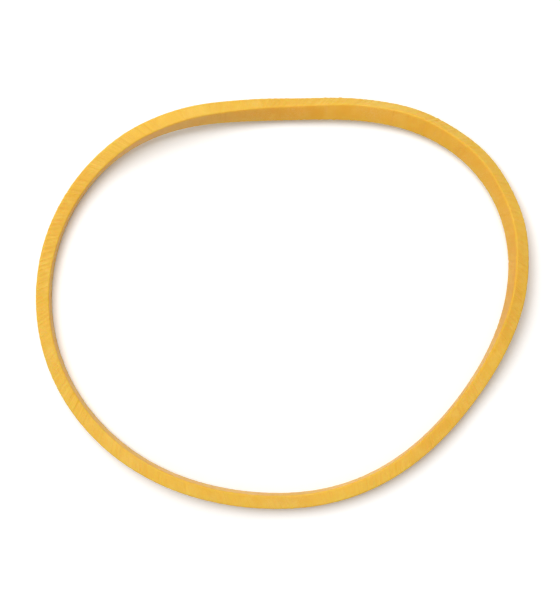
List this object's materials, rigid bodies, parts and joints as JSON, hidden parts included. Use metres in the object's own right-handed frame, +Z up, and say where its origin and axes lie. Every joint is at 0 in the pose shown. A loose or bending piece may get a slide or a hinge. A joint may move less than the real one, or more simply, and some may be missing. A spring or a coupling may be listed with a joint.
{
  "type": "rubber band",
  "caption": "Thin closed loop of amber rubber with a small rectangular section, lying relaxed; it stretches to hold a bundle, roll or packet together.",
  "frame": {"origin": "on the surface it lies on, under the middle of its box", "axes": "+Z up, away from the surface; +X along the longer way across the relaxed loop"},
  "size_m": [0.0426, 0.0356, 0.0031],
  "materials": {
    "band_rubber": "amber natural rubber, matt, slightly translucent"
  },
  "bodies": {
    "root": {"rubber_band": "band_rubber"}
  },
  "joints": []
}
